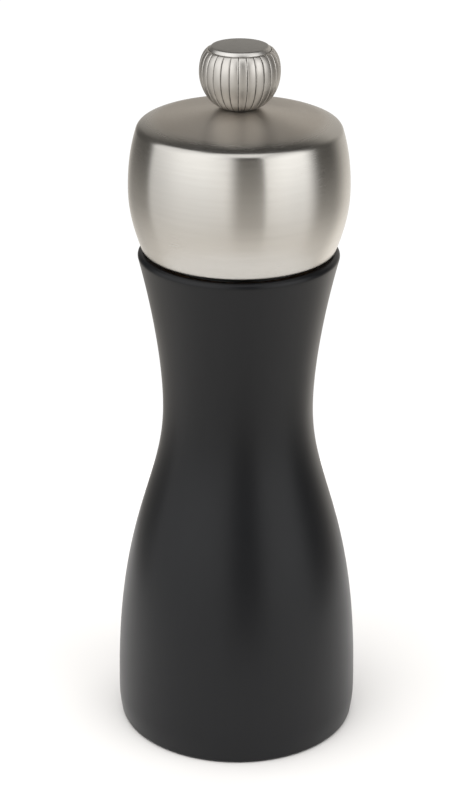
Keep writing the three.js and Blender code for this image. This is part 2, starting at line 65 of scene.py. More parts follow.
_, BODY_TOP, BODY_RADIUS = span("wood_body")
CAP_BOTTOM, CAP_TOP, CAP_RADIUS = span("head_cap")
KNOB_BOTTOM, KNOB_TOP, KNOB_RADIUS = span("knob_body")
DISC_BOTTOM, DISC_TOP, DISC_RADIUS = span("knob_cap")
CORE_BOTTOM, CORE_TOP, CORE_RADIUS = span("head_core")
PLATE_BOTTOM, PLATE_TOP, PLATE_RADIUS = span("drive_plate")
SHAFT_BOTTOM, SHAFT_TOP, SHAFT_FOOT_RADIUS = span("drive_shaft")
ROTOR_BOTTOM, ROTOR_TOP, _ = span("grinding_rotor")
STATOR_BOTTOM, STATOR_TOP, STATOR_RADIUS = span("stator_ring")
CAGE_BOTTOM, CAGE_TOP, CAGE_FLANGE_RADIUS = span("mill_cage")
RING_BOTTOM, RING_TOP, RING_RADIUS = span("base_ring")
_, BRIDGE_TOP, BRIDGE_REACH = span("shaft_bridge")
RIVET_BOTTOM, RIVET_TOP, _ = span("bridge_rivet_1")
WASHER_BOTTOM, WASHER_TOP, WASHER_RADIUS = span("thrust_washer")
SPRING_BOTTOM, SPRING_TOP, SPRING_OUTER = span("grind_spring")
CLIP_BOTTOM, CLIP_TOP, CLIP_RADIUS = span("shaft_stop_clip")


# ---------------------------------------------------------------- outlines


def bend(start, start_handle, end_handle, end, steps):
    """Points of a cubic curve, without its first one."""
    t = np.linspace(0, 1, steps + 1)[1:, None]
    a, b, c, d = (np.array(p, float) for p in (start, start_handle, end_handle, end))
    points = (1 - t) ** 3 * a + 3 * (1 - t) ** 2 * t * b + 3 * (1 - t) * t * t * c + t**3 * d
    return [tuple(p) for p in points]


def arc(centre, radius, start, end, steps):
    """Points of a circular arc, angles in degrees."""
    angles = np.radians(np.linspace(start, end, steps + 1))
    return [(centre[0] + radius * math.cos(a), centre[1] + radius * math.sin(a)) for a in angles]


def along(point, lean, length):
    """The point some way up from another, leaning outwards by an angle in degrees."""
    a = math.radians(lean)
    return (point[0] + length * math.sin(a), point[1] + length * math.cos(a))


def rounded(corners, steps=4):
    """An outline whose corners are rounded. A corner is (radius, height) or (radius, height, rounding)."""
    outline = []
    count = len(corners)
    for i, corner in enumerate(corners):
        here = Vector(corner[:2])
        rounding = corner[2] if len(corner) > 2 else 0
        if not rounding:
            outline.append(tuple(here))
            continue
        back = (Vector(corners[i - 1][:2]) - here).normalized()
        ahead = (Vector(corners[(i + 1) % count][:2]) - here).normalized()
        half = back.angle(ahead) / 2
        reach = rounding / math.tan(half)
        centre = here + (back + ahead).normalized() * rounding / math.sin(half)
        first, last = here + back * reach - centre, here + ahead * reach - centre
        turn = first.angle_signed(last)
        for k in range(steps + 1):
            spoke = first.copy()
            spoke.rotate(Matrix.Rotation(-turn * k / steps, 2))
            outline.append(tuple(centre + spoke))
    return outline


# ---------------------------------------------------------------- meshes


def finished(name, mesh, sharp=32):
    """An object with smooth shading that breaks at edges sharper than an angle in degrees."""
    mesh.polygons.foreach_set("use_smooth", [True] * len(mesh.polygons))
    mesh.set_sharp_from_angle(angle=math.radians(sharp))
    made = bpy.data.objects.new(name, mesh)
    bpy.context.scene.collection.objects.link(made)
    return made


def mesh_of(name, vertices, faces):
    mesh = bpy.data.meshes.new(name)
    mesh.from_pydata([tuple(v) for v in vertices], [], faces)
    mesh.validate()
    return mesh


def revolve(name, outline, sides=128, shape=None, sharp=32):
    """Turns an outline about Z. An outline that doesn't start and end on the axis closes on itself.

    shape(radius, height, angles) gives the radii round one row of points where the piece isn't round."""
    angles = np.arange(sides) * TAU / sides
    vertices, rows = [], []
    for radius, height in outline:
        if radius < 1e-6:
            rows.append([len(vertices)])
            vertices.append((0, 0, height * MM))
            continue
        radii = np.full(sides, radius) if shape is None else shape(radius, height, angles)
        rows.append(list(range(len(vertices), len(vertices) + sides)))
        vertices += [
            (r * math.cos(a) * MM, r * math.sin(a) * MM, height * MM) for r, a in zip(radii, angles)
        ]
    if len(rows[0]) > 1:
        rows.append(rows[0])
    faces = []
    for low, high in zip(rows, rows[1:]):
        for i in range(sides):
            j = (i + 1) % sides
            if len(low) == 1 and len(high) == 1:
                break
            if len(low) == 1:
                faces.append((low[0], high[j], high[i]))
            elif len(high) == 1:
                faces.append((low[i], low[j], high[0]))
            else:
                faces.append((low[i], low[j], high[j], high[i]))
    return finished(name, mesh_of(name, vertices, faces), sharp)


def sweep(name, path, section, across, sharp=32):
    """Carries a closed section along a path. across(k) is the section's first direction at point k."""
    points = np.array(path, float) * MM
    tangents = np.gradient(points, axis=0)
    tangents /= np.linalg.norm(tangents, axis=1)[:, None]
    vertices = []
    for k, (point, tangent) in enumerate(zip(points, tangents)):
        first = np.array(across(k), float)
        first -= tangent * (first @ tangent)
        first /= np.linalg.norm(first)
        second = np.cross(tangent, first)
        vertices += [tuple(point + (u * first + v * second) * MM) for u, v in section]
    count, last = len(section), len(points) - 1
    faces = [tuple(reversed(range(count))), tuple(last * count + i for i in range(count))]
    for k in range(last):
        for i in range(count):
            j = (i + 1) % count
            a, b = k * count, (k + 1) * count
            faces.append((a + i, a + j, b + j, b + i))
    return finished(name, mesh_of(name, vertices, faces), sharp)


def combine(piece, tools, operation="DIFFERENCE", sharp=32):
    """Cuts the tools from a piece, or joins them to it, and removes the tools."""
    for tool in tools:
        step = piece.modifiers.new(operation, "BOOLEAN")
        step.operation, step.object, step.solver = operation, tool, "EXACT"
    bpy.context.view_layer.update()
    shaped = bpy.data.meshes.new_from_object(piece.evaluated_get(bpy.context.evaluated_depsgraph_get()))
    name = piece.name
    for gone in [piece, *tools]:
        bpy.data.objects.remove(gone)
    shaped.name = name
    close_slivers(shaped)
    return finished(name, shaped, sharp)


def close_slivers(mesh):
    """Welds points that a cut left almost on each other, and closes the slits between them."""
    weld = 0.001 * MM
    sheet = bmesh.new()
    sheet.from_mesh(mesh)
    bmesh.ops.remove_doubles(sheet, verts=sheet.verts, dist=weld)
    bmesh.ops.dissolve_degenerate(sheet, dist=weld, edges=sheet.edges)
    bmesh.ops.holes_fill(sheet, edges=[edge for edge in sheet.edges if edge.is_boundary], sides=6)
    sheet.to_mesh(mesh)
    sheet.free()


def placed(piece, x=0.0, turn=0.0):
    """Moves a piece out along X and then round the axis, in the mesh itself."""
    piece.data.transform(Matrix.Rotation(turn, 4, "Z") @ Matrix.Translation((x * MM, 0, 0)))
    return piece


def prism(name, corners, bottom, top, rounding=0.0, steps=4):
    """An upright prism with the given plan, its upright edges rounded."""
    plan = rounded([(x, y, rounding) for x, y in corners], steps) if rounding else corners
    path = [(0, 0, bottom), (0, 0, top)]
    return sweep(name, path, plan, lambda k: (1, 0, 0))


def around(count):
    """Angles spread evenly round the axis."""
    return [i * TAU / count for i in range(count)]


def rectangle(width, depth):
    """Corners of a rectangle about the axis."""
    x, y = width / 2, depth / 2
    return [(-x, -y), (x, -y), (x, y), (-x, y)]


def plug(radius, bottom, top, sides=24):
    """An upright cylinder on the axis, for cutting a round hole."""
    return revolve("plug", [(0, bottom), (radius, bottom), (radius, top), (0, top)], sides)


def wave(turns):
    """A ridge that rises from 0 to 1 and falls back over each whole turn."""
    return 1 - np.abs(2 * (turns % 1) - 1)


# ---------------------------------------------------------------- materials


class Nodes:
    """Short calls that build the nodes of a tree."""

    def __init__(self, owner, shader):
        owner.use_nodes = True
        self.tree = owner.node_tree
        self.shader = self.tree.nodes[shader]

    def node(self, kind, *sockets, **settings):
        """Adds a node, sets its fields, and fills its inputs in order with values or links."""
        made = self.tree.nodes.new("ShaderNode" + kind)
        for field, value in settings.items():
            setattr(made, field, value)
        for socket, value in zip(made.inputs, sockets):
            self.feed(socket, value)
        return made

    def feed(self, socket, value):
        if isinstance(value, bpy.types.NodeSocket):
            self.tree.links.new(value, socket)
        elif value is not None:
            socket.default_value = value

    def math(self, operation, *values):
        return self.node("Math", *values, operation=operation).outputs[0]

    def ranged(self, value, low, high, from_low=0.0, from_high=1.0, smooth=False):
        """The value moved from one range to another, and kept inside it."""
        kind = "SMOOTHSTEP" if smooth else "LINEAR"
        made = self.node("MapRange", value, from_low, from_high, low, high, interpolation_type=kind)
        return made.outputs[0]

    def mixed(self, share, first, second):
        """A colour between two others."""
        made = self.node("Mix", data_type="RGBA")
        self.feed(made.inputs[0], share)
        for socket, color in zip(made.inputs[6:8], (first, second)):
            self.feed(socket, (*color, 1) if isinstance(color, tuple) else color)
        return made.outputs[2]


class Surface(Nodes):
    """A material built on one principled shader."""

    def __init__(self, name, color, roughness, metallic=0.0, **fixed):
        self.material = bpy.data.materials.new(name)
        super().__init__(self.material, "Principled BSDF")
        self.shader.inputs["Base Color"].default_value = (*color, 1)
        self.shader.inputs["Roughness"].default_value = roughness
        self.shader.inputs["Metallic"].default_value = metallic
        for socket, value in fixed.items():
            self.shader.inputs[socket.replace("_", " ")].default_value = value
        self.place = self.node("TexCoord").outputs["Object"]

    def scaled(self, x, y, z):
        """The place on the piece, stretched by a factor along each axis."""
        return self.node("VectorMath", self.place, (x, y, z), operation="MULTIPLY").outputs[0]

    def noise(self, where, scale, detail=2.0, roughness=0.5):
        """Noise from 0 to 1."""
        made = self.node("TexNoise")
        self.feed(made.inputs["Vector"], where)
        made.inputs["Scale"].default_value = scale
        made.inputs["Detail"].default_value = detail
        made.inputs["Roughness"].default_value = roughness
        return made.outputs["Fac"]

    def cylindrical(self):
        """The distance from the axis, the angle round it in turns, and the height."""
        x, y, z = self.node("SeparateXYZ", self.place).outputs
        squares = self.math("ADD", self.math("MULTIPLY", x, x), self.math("MULTIPLY", y, y))
        distance = self.math("SQRT", squares)
        turns = self.math("DIVIDE", self.math("ARCTAN2", y, x), TAU)
        return distance, turns, z

    def bump(self, *layers):
        """Lifts the surface by each (height, depth in metres) in turn."""
        normal = None
        for height, depth in layers:
            made = self.node("Bump")
            made.inputs["Distance"].default_value = depth
            self.feed(made.inputs["Height"], height)
            if normal:
                self.feed(made.inputs["Normal"], normal)
            normal = made.outputs[0]
        self.feed(self.shader.inputs["Normal"], normal)

    def color(self, value):
        self.feed(self.shader.inputs["Base Color"], value)

    def rough(self, value):
        self.feed(self.shader.inputs["Roughness"], value)

    def round_the_axis(self):
        """Turns the highlights to run along the mill, across lines that were cut round it."""
        tangent = self.node("Tangent", direction_type="RADIAL", axis="Z")
        self.feed(self.shader.inputs["Tangent"], tangent.outputs[0])


def black_lacquer():
    """Matte black lacquer on turned beech, with a trace of its grain and of the spray."""
    made = Surface("black_lacquer", (0.003, 0.0034, 0.0044), 0.34, Specular_IOR_Level=0.28)
    spray = made.noise(made.place, 2600, 2)
    grain = made.noise(made.scaled(1, 1, 0.06), 900, 3)
    cloud = made.noise(made.place, 60, 2)
    made.rough(made.ranged(cloud, 0.31, 0.36, 0.3, 0.7))
    made.color(made.mixed(grain, (0.0025, 0.0029, 0.0039), (0.0036, 0.004, 0.0051)))
    made.bump((grain, 4e-6), (spray, 3e-6))
    return made.material


def beech():
    """Bare turned beech: faint rings and short dark flecks along the grain."""
    made = Surface("beech", (0.5, 0.3, 0.14), 0.6, Specular_IOR_Level=0.4)
    wander = made.noise(made.scaled(1, 1, 0.15), 40, 2)
    x, y, _ = made.node("SeparateXYZ", made.place).outputs
    pith_away, rings_per_metre, ring_wander = 0.03, 420.0, 2.2
    off_centre = made.math("ADD", x, pith_away)
    squares = made.math("ADD", made.math("POWER", off_centre, 2.0), made.math("POWER", y, 2.0))
    from_pith = made.math("MULTIPLY", made.math("SQRT", squares), rings_per_metre)
    rings = made.math("FRACT", made.math("ADD", from_pith, made.math("MULTIPLY", wander, ring_wander)))
    late = made.ranged(rings, 0, 1, 0.55, 1.0)
    flecks = made.ranged(made.noise(made.scaled(1, 1, 0.05), 2600, 1), 0, 1, 0.62, 0.7)
    wood = made.mixed(late, (0.56, 0.35, 0.175), (0.44, 0.25, 0.11))
    made.color(made.mixed(made.math("MULTIPLY", flecks, 0.55), wood, (0.25, 0.12, 0.05)))
    made.rough(made.ranged(flecks, 0.55, 0.75))
    made.bump((made.math("MULTIPLY", flecks, -1.0), 2e-5), (made.noise(made.place, 3000, 2), 6e-6))
    return made.material


def turned_steel():
    """Stainless steel with a fine satin cut round the mill, duller and warmer on the head's crown."""
    brushed = {"Anisotropic": 0.65, "Anisotropic_Rotation": 0.25}
    made = Surface("turned_steel", (0.515, 0.5, 0.471), 0.22, 1.0, **brushed)
    distance, turns, height = made.cylindrical()
    where = made.node("CombineXYZ", distance, made.math("MULTIPLY", turns, 0.004), height).outputs[0]
    lines = made.noise(where, 9000, 2)
    bands = made.noise(where, 1400, 2)
    handling = made.noise(made.place, 90, 3)
    crown_inside, crown_outside = 0.0155, 0.0195
    crown = made.ranged(distance, 1, 0, crown_inside, crown_outside, smooth=True)
    cut = made.ranged(lines, 0.18, 0.25, 0.3, 0.7)
    satin = made.math("ADD", cut, made.ranged(handling, 0, 0.03, 0.4, 0.7))
    made.rough(made.math("ADD", satin, made.math("MULTIPLY", crown, 0.16)))
    side = made.mixed(bands, (0.5, 0.485, 0.457), (0.53, 0.515, 0.485))
    made.color(made.mixed(crown, side, (0.55, 0.512, 0.465)))
    made.bump((lines, 1.2e-6))
    made.round_the_axis()
    return made.material


def knob_metal():
    """Nickel plate, dark in its cuts, with painted shade in the recess round the disc, and a little dulled
    round the belly, where it is held.
    """
    made = Surface("knob_metal", (0.56, 0.54, 0.51), 0.28, 1.0)
    cut = made.node("Attribute", attribute_name="cut").outputs["Fac"]
    grime_and_shade_patches = made.noise(made.place, 900, 4, 0.6)
    # The dark colour in the cuts is patina; the same mask also carries a painted shade in the recess round
    # the disc.
    broken = made.math("MULTIPLY", cut, made.ranged(grime_and_shade_patches, 0.7, 1.3, 0.3, 0.7))
    dark = made.ranged(broken, 0, 1, 0.3, 0.85)
    _, _, height = made.cylindrical()
    band_bottom, band_full, band_fades, band_top = 0.1405, 0.1435, 0.1445, 0.1485
    rise = made.ranged(height, 0, 0.5, band_bottom, band_full, smooth=True)
    fall = made.ranged(height, 1, 0, band_fades, band_top, smooth=True)
    clouds = made.ranged(made.noise(made.place, 260, 3), 0, 0.35, 0.45, 0.8)
    patina = made.math("ADD", clouds, made.math("MULTIPLY", rise, fall))
    plate = made.mixed(patina, (0.58, 0.56, 0.53), (0.36, 0.345, 0.32))
    made.color(made.mixed(dark, plate, (0.035, 0.031, 0.027)))
    made.rough(made.math("ADD", made.ranged(dark, 0.34, 0.6), made.math("MULTIPLY", patina, 0.15)))
    made.bump((made.noise(made.scaled(1, 1, 0.3), 5000, 2), 3e-6))
    return made.material


def disc_metal():
    """The knob's top disc, darker than the ribs and lightly turned, with a painted highlight: a lighter ring
    round its bevelled edge.
    """
    made = Surface("disc_metal", (0.28, 0.275, 0.265), 0.34, 1.0)
    distance, turns, height = made.cylindrical()
    where = made.node("CombineXYZ", distance, made.math("MULTIPLY", turns, 0.002), height).outputs[0]
    made.rough(made.ranged(made.noise(where, 9000, 2), 0.3, 0.38, 0.3, 0.7))
    # Painted highlight: a ring of light colour round the disc's edge stands for the bright crescent on its
    # bevel.
    painted_edge_highlight = made.ranged(distance, 0, 1, 0.0054, 0.0058)
    cloud = made.noise(made.place, 400, 3)
    dull = made.mixed(cloud, (0.245, 0.242, 0.234), (0.31, 0.306, 0.297))
    made.color(made.mixed(painted_edge_highlight, dull, (0.6, 0.585, 0.56)))
    made.bump((made.noise(where, 9000, 2), 1e-6))
    return made.material


def plated_steel():
    """Zinc plate, slightly clouded."""
    made = Surface("plated_steel", (0.5, 0.5, 0.51), 0.34, 1.0)
    cloud = made.noise(made.place, 350, 3)
    made.color(made.mixed(cloud, (0.44, 0.445, 0.46), (0.56, 0.555, 0.55)))
    made.rough(made.ranged(cloud, 0.28, 0.42, 0.3, 0.7))
    made.bump((made.noise(made.place, 4000, 2), 4e-6))
    return made.material


def hardened_steel():
    """Case-hardened steel, brown-black where nothing rubs it."""
    made = Surface("hardened_steel", (0.17, 0.165, 0.16), 0.42, 1.0)
    cloud = made.noise(made.place, 500, 4)
    made.color(made.mixed(cloud, (0.12, 0.112, 0.105), (0.24, 0.235, 0.23)))
    made.rough(made.ranged(cloud, 0.34, 0.52, 0.3, 0.7))
    made.bump((made.noise(made.place, 6000, 3), 6e-6))
    return made.material


def spring_steel():
    """Drawn wire with its fine lengthwise lines."""
    made = Surface("spring_steel", (0.4, 0.41, 0.42), 0.3, 1.0)
    lines = made.noise(made.scaled(1, 1, 3), 2500, 2)
    made.color(made.mixed(lines, (0.33, 0.335, 0.345), (0.46, 0.465, 0.47)))
    made.rough(made.ranged(lines, 0.24, 0.38, 0.3, 0.7))
    return made.material


LACQUER = black_lacquer()
BEECH = beech()
HEAD_STEEL = turned_steel()
KNOB_METAL = knob_metal()
DISC_METAL = disc_metal()
PLATED = plated_steel()
HARDENED = hardened_steel()
SPRING_WIRE = spring_steel()


def show(piece, node, body, slot, *finishes):
    """Puts a finished piece in place of its CAD node, on its body."""
    for finish in finishes:
        piece.data.materials.append(finish)
    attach(piece, body)
    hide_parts(node)
    return piece


# ---------------------------------------------------------------- wooden body

FOOT_RECESS_RADIUS, FOOT_RECESS_DEPTH = 20.2, 4.6
MILL_BORE_RADIUS, MILL_BORE_TOP = 15.4, 27.2
HOPPER_RADIUS, HOPPER_BOTTOM = 11.6, 30.5
SOCKET_RADIUS, SOCKET_FLOOR = 15.6, 96.2
WAIST_RADIUS, WAIST_HEIGHT, WAIST_FULLNESS_BELOW, WAIST_FULLNESS_ABOVE = 15.8, 72.8, 18.9, 10.4
BELLY_HEIGHT, BELLY_FULLNESS_BELOW, BELLY_FULLNESS_ABOVE = 6.0, 2.2, 41.8
BASE_RADIUS, BASE_ROUNDING = 24.65, 0.75
BASE_SIDE, BASE_SIDE_HANDLE = (25.384, 0.594), (25.62, 1.9)
RIM_RADIUS, RIM_ROUNDING, RIM_LEAN, RIM_FULLNESS = 19.75, 0.98, 14.2, 9.6


def wood_body():
    """Lacquered outside. Its socket, hopper and mill bore are bare wood."""
    belly, waist = (BODY_RADIUS, BELLY_HEIGHT), (WAIST_RADIUS, WAIST_HEIGHT)
    under_belly, over_belly = along(belly, 0, -BELLY_FULLNESS_BELOW), along(belly, 0, BELLY_FULLNESS_ABOVE)
    under_waist, over_waist = along(waist, 0, -WAIST_FULLNESS_BELOW), along(waist, 0, WAIST_FULLNESS_ABOVE)
    lip = arc((RIM_RADIUS, BODY_TOP - RIM_ROUNDING), RIM_ROUNDING, -RIM_LEAN, 90, 12)
    outside = [
        *arc((BASE_RADIUS, BASE_ROUNDING), BASE_ROUNDING, -90, -12, 6),
        *bend(BASE_SIDE, BASE_SIDE_HANDLE, under_belly, belly, 10),
        *bend(belly, over_belly, under_waist, waist, 64),
        *bend(waist, over_waist, along(lip[0], RIM_LEAN, -RIM_FULLNESS), lip[0], 36),
        *lip[1:],
    ]
    inside = rounded(
        [
            (SOCKET_RADIUS + 0.5, BODY_TOP, 0.4),
            (SOCKET_RADIUS, BODY_TOP - 0.7, 0.4),
            (SOCKET_RADIUS, SOCKET_FLOOR, 0.3),
            (HOPPER_RADIUS, SOCKET_FLOOR, 0.8),
            (HOPPER_RADIUS, HOPPER_BOTTOM, 1.0),
            (MILL_BORE_RADIUS, MILL_BORE_TOP, 1.0),
            (MILL_BORE_RADIUS, FOOT_RECESS_DEPTH, 0.3),
            (FOOT_RECESS_RADIUS, FOOT_RECESS_DEPTH, 0.2),
            (FOOT_RECESS_RADIUS, 0, 0.5),
        ]
    )
    body = revolve("wood_body_turned", [*outside, *inside], 192)
    bare = SOCKET_RADIUS + 0.1
    for face in body.data.polygons:
        if face.center.xy.length < bare * MM:
            face.material_index = 1
    return show(body, "wood_body", "mill_body", "body_lacquer", LACQUER, BEECH)


# ---------------------------------------------------------------- grinding mechanism

CAGE_RADIUS, CAGE_SHEET, CAGE_LIP_RADIUS, CAGE_FLANGE_SHEET = 15.1, 0.8, 11.4, 0.9
STATOR_GAP = 0.45
BURR_RADIUS, BURR_BASE, BURR_FLARE, BURR_THROAT = 10.65, 4.0, 0.45, 10.4
FINE_TEETH, ROTOR_COARSE_TEETH, STATOR_COARSE_TEETH = 36, 6, 12
RIVET_OFFSET, RIVET_HOLE = 13.25, 1.0
SHAFT_HOLE_SIDE = 4.5


def rivet_holes(bottom, top):
    return [placed(plug(RIVET_HOLE, bottom, top), RIVET_OFFSET, turn) for turn in around(2)]


def burr_radius(height):
    """Radius of the rotor's flare. The fixed ring stands off it by the stator gap."""
    return BURR_RADIUS - (height - BURR_BASE) * BURR_FLARE


def mill_cage():
    """A stamped cup with a flange, which holds the fixed ring."""
    inner, flange_top = CAGE_RADIUS - CAGE_SHEET, CAGE_BOTTOM + CAGE_FLANGE_SHEET
    outline = rounded(
        [
            (inner, CAGE_BOTTOM, 0.9),
            (CAGE_FLANGE_RADIUS, CAGE_BOTTOM, 0.2),
            (CAGE_FLANGE_RADIUS, flange_top, 0.2),
            (CAGE_RADIUS, flange_top, 0.15),
            (CAGE_RADIUS, CAGE_TOP, 1.1),
            (CAGE_LIP_RADIUS, CAGE_TOP, 0.3),
            (CAGE_LIP_RADIUS, CAGE_TOP - CAGE_SHEET, 0.3),
            (inner, CAGE_TOP - CAGE_SHEET, 0.3),
        ]
    )
    cage = revolve("mill_cage_pressed", outline, 128)
    clearance = BASE_SCREW["shank"] + SCREW_GAP
    screw_holes = [placed(plug(clearance, 2, 6), BASE_SCREW_CIRCLE, turn) for turn in around(3)]
    holes = [*screw_holes, *rivet_holes(18, 22)]
    return show(combine(cage, holes), "mill_cage", "mill_body", "plated_steel", PLATED)


def stator_ring():
    """The fixed ring. Its inside has coarse teeth at the mouth and fine ones on the flare."""
    mouth_radius, mouth_taper, mouth_height = 10.4, 1.5, 6.8
    flare_top, flare_height = BURR_THROAT + 2.1, 9.0
    toothed_radius = 12

    def flare(height):
        return (burr_radius(height) + STATOR_GAP, height)

    mouth = np.linspace(0.05, 1, 20)
    outline = rounded(
        [
            (STATOR_RADIUS, STATOR_BOTTOM, 0.3),
            (STATOR_RADIUS, STATOR_TOP, 0.4),
            (mouth_radius, STATOR_TOP),
            *[(mouth_radius - mouth_taper * t, STATOR_TOP - mouth_height * t) for t in mouth],
            *[flare(flare_top - flare_height * t) for t in np.linspace(0.25, 1, 24)],
        ]
    )

    def toothed(radius, height, angles):
        if radius > toothed_radius:
            return np.full(len(angles), radius)
        turns = angles / TAU
        open_share = np.clip((height - BURR_THROAT) / 4, 0, 1)
        fine = 0.35 * wave(turns * FINE_TEETH - height * 0.25)
        coarse = 0.85 * wave(turns * STATOR_COARSE_TEETH + height * 0.06)
        return radius + (1 - open_share) * fine + open_share * coarse

    stator = revolve("stator_teeth", outline, 288, toothed, sharp=25)
    return show(stator, "stator_ring", "mill_body", "hardened_steel", HARDENED)


def rotor():
    """The grinder, with deep spiral teeth above that turn into fine ones on its flare."""
    foot_recess, ceiling = 4.3, 5.2
    flare_edge, throat_radius, neck_taper, neck_top_radius = 10.3, 7.77, 2.27, 4.9
    neck_height = ROTOR_TOP - BURR_THROAT
    neck = np.linspace(0.05, 0.97, 26)
    outline = rounded(
        [
            (0, ceiling),
            (foot_recess, ceiling, 0.2),
            (foot_recess, ROTOR_BOTTOM, 0.2),
            (flare_edge, ROTOR_BOTTOM),
            *[(burr_radius(z), z) for z in np.linspace(BURR_BASE, BURR_THROAT, 30)],
            *[(throat_radius - neck_taper * t**1.2, BURR_THROAT + neck_height * t) for t in neck],
            (neck_top_radius, ROTOR_TOP),
            (0, ROTOR_TOP),
        ]
    )

    def toothed(radius, height, angles):
        if radius < neck_top_radius - 0.1 or height < ROTOR_BOTTOM + 0.01:
            return np.full(len(angles), radius)
        turns = angles / TAU
        spiral = np.clip((height - BURR_THROAT + 2) / 3, 0, 1)
        fine = 0.38 * wave(turns * FINE_TEETH + height * 0.25)
        coarse = 1.2 * wave(turns * ROTOR_COARSE_TEETH + height * 0.07) ** 1.4
        return radius - (1 - spiral) * fine - spiral * coarse

    turned = revolve("rotor_teeth", outline, 288, toothed, sharp=25)
    hole = rectangle(SHAFT_HOLE_SIDE, SHAFT_HOLE_SIDE)
    bored = combine(turned, [prism("square", hole, ROTOR_BOTTOM - 1, ROTOR_TOP + 1)], sharp=25)
    return show(bored, "grinding_rotor", "shaft", "hardened_steel", HARDENED)


def shaft_bridge():
    """A strap bent down at both ends, with a hub that the shaft runs in."""
    sheet, width, leg, rivet_head = 1.2, 8, 11.3, 0.8
    hub_radius, hub_bottom, hub_core, hole = 4.5, 24.5, 2.2, 3.15
    foot_height, top = RIVET_TOP - rivet_head - sheet, BRIDGE_TOP - sheet / 2
    right = [(BRIDGE_REACH, foot_height), (leg, foot_height, 1.2), (leg, top, 1.3)]
    bends = rounded([*right, *[(-c[0], *c[1:]) for c in reversed(right)]], 6)
    section = rounded([(x, y, 0.3) for x, y in rectangle(width, sheet)], 3)
    strap = sweep("shaft_bridge_strap", [(x, 0, z) for x, z in bends], section, lambda k: (0, 1, 0))
    hub_corners = [
        (hub_core, hub_bottom),
        (hub_radius, hub_bottom, 0.3),
        (hub_radius, top, 0.1),
        (hub_core, top),
    ]
    joined = combine(strap, [revolve("hub", rounded(hub_corners), 48)], "UNION")
    bored = combine(joined, [plug(hole, 23, 28, 48), *rivet_holes(19, 23)])
    return show(bored, "shaft_bridge", "mill_body", "plated_steel", PLATED)


def bridge_rivets():
    """Two rivets with domed heads."""
    shank, head, head_height = 0.8, 1.2, 0.7
    under_head = RIVET_TOP - head_height
    edge, crown = (head, under_head + 0.2), (0, RIVET_TOP)
    for i, turn in enumerate(around(2)):
        outline = [
            (0, RIVET_BOTTOM),
            (shank - 0.1, RIVET_BOTTOM),
            (shank, RIVET_BOTTOM + 0.1),
            (shank, under_head),
            (head - 0.05, under_head),
            (head, under_head + 0.05),
            edge,
            *bend(edge, (head - 0.05, RIVET_TOP - 0.1), (head / 2, RIVET_TOP), crown, 8),
        ]
        name = f"bridge_rivet_{i + 1}"
        rivet = placed(revolve(name + "_domed", outline, 32), RIVET_OFFSET, turn)
        show(rivet, name, "mill_body", "fasteners", PLATED)


def thrust_washer():
    inner = 3.15
    corners = [
        (inner, WASHER_BOTTOM, 0.12),
        (WASHER_RADIUS, WASHER_BOTTOM, 0.12),
        (WASHER_RADIUS, WASHER_TOP, 0.12),
        (inner, WASHER_TOP, 0.12),
    ]
    washer = revolve("thrust_washer_flat", rounded(corners, 3), 64)
    return show(washer, "thrust_washer", "drive", "plated_steel", PLATED)


def grind_spring():
    """A coil of round wire whose end turns lie flat."""
    wire, turns, steps = 0.8, 4, 48
    radius = SPRING_OUTER - wire / 2
    low, high = SPRING_BOTTOM + wire / 2, SPRING_TOP - wire / 2
    path = []
    for k in range(turns * steps + 1):
        t = k / (turns * steps)
        rise = np.interp(t * turns, [0, 0.7, turns - 0.7, turns], [0, 0.06, 0.94, 1])
        a = t * turns * TAU
        path.append((radius * math.cos(a), radius * math.sin(a), low + (high - low) * rise))
    section = [(wire / 2 * math.cos(a), wire / 2 * math.sin(a)) for a in around(16)]
    coil = sweep("grind_spring_wire", path, section, lambda k: (0, 0, 1))
    return show(coil, "grind_spring", "drive", "spring_steel", SPRING_WIRE)


# ---------------------------------------------------------------- shaft

THREAD_PITCH, THREAD_DEPTH = 0.7, 0.38
SQUARE_TOP = 124.5


def square_radius(angles, side, rounding):
    """Radii of a square with rounded corners."""
    half, inner = side / 2, side / 2 - rounding
    a = np.abs((angles + TAU / 8) % (TAU / 4) - TAU / 8)
    flat = half / np.cos(a)
    lift = np.maximum(rounding**2 - inner**2 * (np.cos(a) - np.sin(a)) ** 2, 0)
    corner = inner * (np.cos(a) + np.sin(a)) + np.sqrt(lift)
    return np.where(np.tan(a) * half > inner, corner, flat)


def drive_shaft():
    """A headed foot, a square bar with a groove for the clip, and a cut thread at the top."""
    side, past_corners, thread_radius, foot_top = 4.0, 3, 1.95, 5.0
    neck_low, neck_high, neck_radius = CLIP_BOTTOM - 0.15, CLIP_TOP + 0.15, 2.45
    square_rows = (foot_top, neck_low - 0.01, neck_low, neck_high, neck_high + 0.01, SQUARE_TOP - 0.3)
    thread_rows = np.arange(SQUARE_TOP + 0.7, SHAFT_TOP - 0.35, THREAD_PITCH / 8)
    outline = rounded(
        [
            (0, SHAFT_BOTTOM),
            (SHAFT_FOOT_RADIUS, SHAFT_BOTTOM, 0.3),
            (SHAFT_FOOT_RADIUS, foot_top, 0.2),
            *[(past_corners, z) for z in square_rows],
            (2.4, SQUARE_TOP),
            (thread_radius, SQUARE_TOP + 0.02),
            *[(thread_radius, z) for z in thread_rows],
            (thread_radius - 0.45, SHAFT_TOP),
            (0, SHAFT_TOP),
        ]
    )

    def section(radius, height, angles):
        if height < foot_top - 0.001 or height > SHAFT_TOP - 0.01:
            return np.full(len(angles), radius)
        if height <= SQUARE_TOP:
            radii = np.minimum(square_radius(angles, side, 0.3), radius)
            notched = neck_low - 0.001 < height < neck_high + 0.001
            return np.minimum(radii, neck_radius) if notched else radii
        fade = np.clip((SHAFT_TOP - 0.3 - height) / 0.5, 0, 1)
        cut = np.clip(1.25 - 1.5 * wave(height / THREAD_PITCH - angles / TAU), 0, 1)
        return radius - THREAD_DEPTH * cut * fade - 0.3 * (1 - fade) * cut

    shaft = revolve("drive_shaft_threaded", outline, 48, section, sharp=40)
    return show(shaft, "drive_shaft", "shaft", "plated_steel", PLATED)


